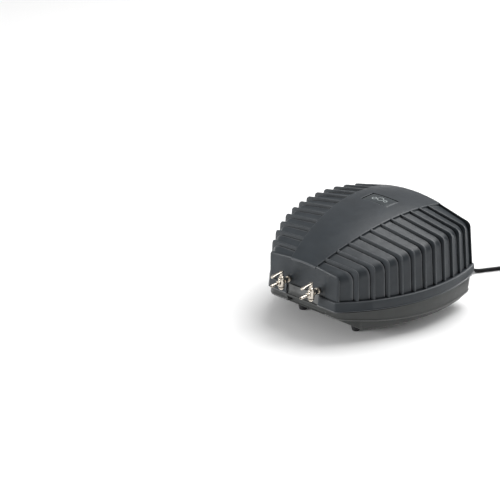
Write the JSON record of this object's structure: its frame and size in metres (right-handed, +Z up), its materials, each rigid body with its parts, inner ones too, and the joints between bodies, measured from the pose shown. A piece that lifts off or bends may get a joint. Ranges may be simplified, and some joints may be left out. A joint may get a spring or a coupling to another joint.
{
  "type": "air pump",
  "caption": "Ribbed anthracite diaphragm air pump for ponds and aquariums, with nickel hose taps at the front, rubber feet and a mains cord.",
  "frame": {"origin": "centre of the bounding box's base without the cord, on the surface the feet stand on", "axes": "+Z up, -Y towards the two air taps, +Y towards the cord, +X to the right seen from the taps"},
  "size_m": [0.2933, 0.4598, 0.1456],
  "materials": {
    "cover_plastic": "fine-grained anthracite plastic",
    "badge_plastic": "smooth dark plastic badge, blank",
    "housing_plastic": "fine-grained dark grey plastic",
    "black_rubber": "matt black rubber",
    "cord_rubber": "matt black cord sheath",
    "hose_rubber": "dark hose",
    "nickel": "nickel-plated brass",
    "zinc_steel": "zinc-plated steel",
    "lamination_steel": "stacked steel laminations",
    "copper_wire": "enamelled copper wire",
    "white_plastic": "natural white plastic",
    "magnet": "ferrite magnet",
    "filter_foam": "dark open foam"
  },
  "bodies": {
    "casing": {"top_cover": "cover_plastic", "name_badge": "badge_plastic", "housing_seal": "black_rubber", "lower_housing": "housing_plastic", "filter_cover": "housing_plastic", "filter_pad": "filter_foam", "foot_front_left": "black_rubber", "foot_front_right": "black_rubber", "foot_rear_left": "black_rubber", "foot_rear_right": "black_rubber", "screw_front_left": "zinc_steel", "screw_front_right": "zinc_steel", "screw_rear_left": "zinc_steel", "screw_rear_right": "zinc_steel", "tap_body_left": "nickel", "tap_nut_left": "nickel", "tap_lock_nut_left": "nickel", "outlet_hose_left": "hose_rubber", "tap_body_right": "nickel", "tap_nut_right": "nickel", "tap_lock_nut_right": "nickel", "outlet_hose_right": "hose_rubber", "chassis": "zinc_steel", "buffer_front_left": "black_rubber", "buffer_front_right": "black_rubber", "buffer_rear_left": "black_rubber", "buffer_rear_right": "black_rubber", "magnet_core": "lamination_steel", "coil_bobbin": "white_plastic", "coil_winding": "copper_wire", "pivot_pin_left": "zinc_steel", "clamp_ring_left": "white_plastic", "pump_head_left": "white_plastic", "valve_box_left": "white_plastic", "valve_sheet_left": "black_rubber", "delivery_hose_left": "hose_rubber", "pivot_pin_right": "zinc_steel", "clamp_ring_right": "white_plastic", "pump_head_right": "white_plastic", "valve_box_right": "white_plastic", "valve_sheet_right": "black_rubber", "delivery_hose_right": "hose_rubber", "air_manifold": "white_plastic", "terminal_block": "white_plastic", "cable_gland": "black_rubber", "cord_run": "cord_rubber", "cord_coil": "cord_rubber", "cord_tail": "cord_rubber", "mains_plug": "cord_rubber"},
    "tap_plug_left": {"tap_lever_left": "nickel", "tap_cap_left": "nickel"},
    "tap_plug_right": {"tap_lever_right": "nickel", "tap_cap_right": "nickel"},
    "drive_arm_left": {"swing_arm_left": "zinc_steel", "arm_magnet_left": "magnet", "diaphragm_left": "black_rubber"},
    "drive_arm_right": {"swing_arm_right": "zinc_steel", "arm_magnet_right": "magnet", "diaphragm_right": "black_rubber"}
  },
  "joints": [
    {"name": "tap_left_turn", "type": "hinge", "parent": "casing", "child": "tap_plug_left", "pos_m": [-0.02646, -0.10863, 0.06876], "axis": [0, 0, 1], "range_deg": [-90, 0]},
    {"name": "tap_right_turn", "type": "hinge", "parent": "casing", "child": "tap_plug_right", "pos_m": [0.02646, -0.10863, 0.06876], "axis": [0, 0, 1], "range_deg": [0, 90]},
    {"name": "arm_right_swing", "type": "hinge", "parent": "casing", "child": "drive_arm_right", "pos_m": [0.035, 0.08581, 0.0621], "axis": [0, 0, 1], "range_deg": [-1.2, 1.2], "stiffness_Nm_per_rad": 2},
    {"name": "arm_left_swing", "type": "hinge", "parent": "casing", "child": "drive_arm_left", "pos_m": [-0.035, 0.08581, 0.0621], "axis": [0, 0, 1], "range_deg": [-1.2, 1.2], "stiffness_Nm_per_rad": 2}
  ],
  "couplings": [
    {"joint": "arm_left_swing", "follows": "arm_right_swing", "ratio": -1}
  ]
}
